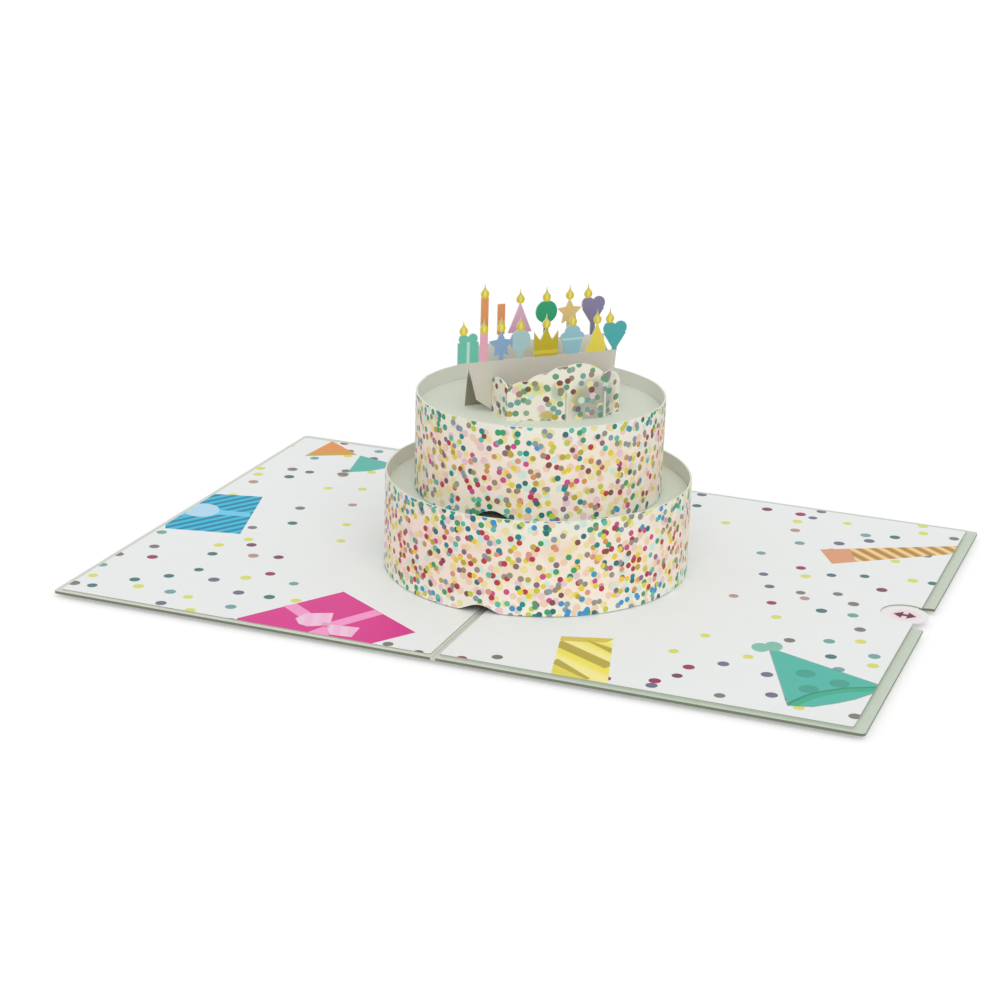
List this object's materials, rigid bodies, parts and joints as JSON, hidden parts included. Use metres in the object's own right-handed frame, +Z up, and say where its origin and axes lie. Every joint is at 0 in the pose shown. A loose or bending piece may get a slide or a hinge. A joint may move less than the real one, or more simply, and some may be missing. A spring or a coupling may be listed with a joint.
{
  "type": "pop up card",
  "caption": "Greeting card opened flat, with a tiered round paper cake that stands over the fold, candle toppers and a slide-out message card.",
  "frame": {"origin": "middle of the fold, on the surface that the card lies on", "axes": "+X along the right leaf, +Y to the card's back edge, +Z up"},
  "size_m": [0.254, 0.1778, 0.0926],
  "materials": {
    "cover": "matte pale green card",
    "panel_print": "matte white card with confetti and birthday print",
    "plain_card": "matte uncoated pale card",
    "confetti_wall": "matte white card, printed outside with confetti dots",
    "topper_print": "matte card, die-cut and printed in several colours"
  },
  "bodies": {
    "root": {"cover_card": "cover", "left_panel": "panel_print", "right_panel": "panel_print", "pocket_strip_front": "cover", "pocket_strip_back": "cover", "pocket_strip_fold": "cover", "lower_wall_front": "confetti_wall", "lower_wall_back": "confetti_wall", "upper_wall_front": "confetti_wall", "upper_wall_back": "confetti_wall", "lower_disc": "plain_card", "upper_disc": "plain_card", "lower_rib_left": "plain_card", "lower_rib_right": "plain_card", "upper_rib_left": "plain_card", "upper_rib_right": "plain_card", "lower_seam_tab_left": "plain_card", "lower_seam_tab_right": "plain_card", "upper_seam_tab_left": "plain_card", "upper_seam_tab_right": "plain_card", "top_wall_front": "confetti_wall", "top_wall_back": "confetti_wall", "front_topper_strip": "topper_print", "back_topper_strip": "topper_print", "cross_rib_left": "plain_card", "cross_rib_middle": "plain_card", "cross_rib_right": "plain_card"},
    "message": {"message_card": "plain_card"}
  },
  "joints": [
    {"name": "message_slide", "type": "slide", "parent": "root", "child": "message", "axis": [1, 0, 0], "range_m": [0, 0.09]}
  ]
}
